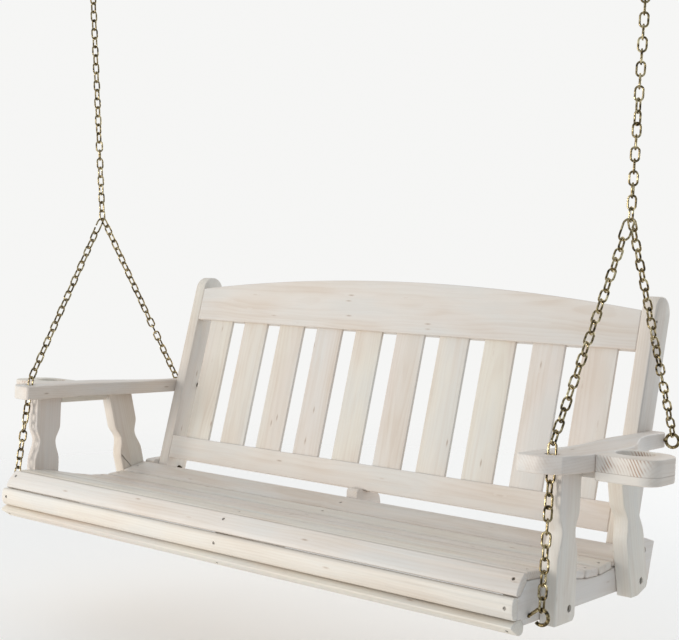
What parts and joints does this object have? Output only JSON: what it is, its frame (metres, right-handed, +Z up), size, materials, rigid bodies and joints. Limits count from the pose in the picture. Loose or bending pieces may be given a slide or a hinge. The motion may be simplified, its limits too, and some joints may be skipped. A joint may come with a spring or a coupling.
{
  "type": "porch swing",
  "caption": "Slatted wooden porch swing with arms, cup holders and a rolled seat edge, hung by a chain bridle at each end.",
  "frame": {"origin": "on the ceiling plane, midway between the two ceiling screw eyes", "axes": "+Z up, along the screw eyes' threaded shanks; +X along the seat towards the right-hand end as seen from in front; +Y towards the back of the bench"},
  "size_m": [2.1, 0.8406, 1.7124],
  "materials": {
    "painted_wood": "off-white semi-solid stain, satin",
    "plated_steel": "antique brass plate"
  },
  "bodies": {
    "ceiling": {"ceiling_eye_left": "plated_steel", "ceiling_eye_right": "plated_steel"},
    "chains": {"main_chain_left": "plated_steel", "main_chain_right": "plated_steel"},
    "bench": {"connector_link_left": "plated_steel", "connector_link_right": "plated_steel", "front_chain_left": "plated_steel", "front_chain_right": "plated_steel", "rear_chain_left": "plated_steel", "rear_chain_right": "plated_steel", "front_eye_bolt_left": "plated_steel", "front_eye_bolt_right": "plated_steel", "rear_eye_bolt_left": "plated_steel", "rear_eye_bolt_right": "plated_steel", "eye_bolt_nuts": "plated_steel", "stringer_left": "painted_wood", "stringer_center": "painted_wood", "stringer_right": "painted_wood", "roll_board_top": "painted_wood", "roll_board_front": "painted_wood", "roll_board_bottom": "painted_wood", "seat_slat_1": "painted_wood", "seat_slat_2": "painted_wood", "seat_slat_3": "painted_wood", "seat_slat_4": "painted_wood", "seat_slat_5": "painted_wood", "seat_slat_6": "painted_wood", "rear_seat_slat": "painted_wood", "back_post_left": "painted_wood", "back_post_right": "painted_wood", "bottom_rail": "painted_wood", "top_rail": "painted_wood", "back_slat_1": "painted_wood", "back_slat_2": "painted_wood", "back_slat_3": "painted_wood", "back_slat_4": "painted_wood", "back_slat_5": "painted_wood", "back_slat_6": "painted_wood", "back_slat_7": "painted_wood", "back_slat_8": "painted_wood", "back_slat_9": "painted_wood", "back_slat_10": "painted_wood", "arm_left": "painted_wood", "arm_right": "painted_wood", "cup_holder_left": "painted_wood", "cup_holder_right": "painted_wood", "front_arm_post_left": "painted_wood", "front_arm_post_right": "painted_wood", "rear_arm_post_left": "painted_wood", "rear_arm_post_right": "painted_wood", "arm_post_bolts": "plated_steel", "arm_post_nuts": "plated_steel", "back_post_bolts": "plated_steel", "back_post_nuts": "plated_steel", "seat_screws": "plated_steel", "roll_screws": "plated_steel", "rail_screws": "plated_steel", "cup_holder_screws": "plated_steel", "arm_screws": "plated_steel"}
  },
  "joints": [
    {"name": "swing", "type": "hinge", "parent": "ceiling", "child": "chains", "pos_m": [0, 0, -0.04192], "axis": [1, 0, 0], "range_deg": [-25, 25]},
    {"name": "pitch", "type": "hinge", "parent": "chains", "child": "bench", "pos_m": [0, 0, -0.75404], "axis": [1, 0, 0], "range_deg": [-12, 12]}
  ]
}
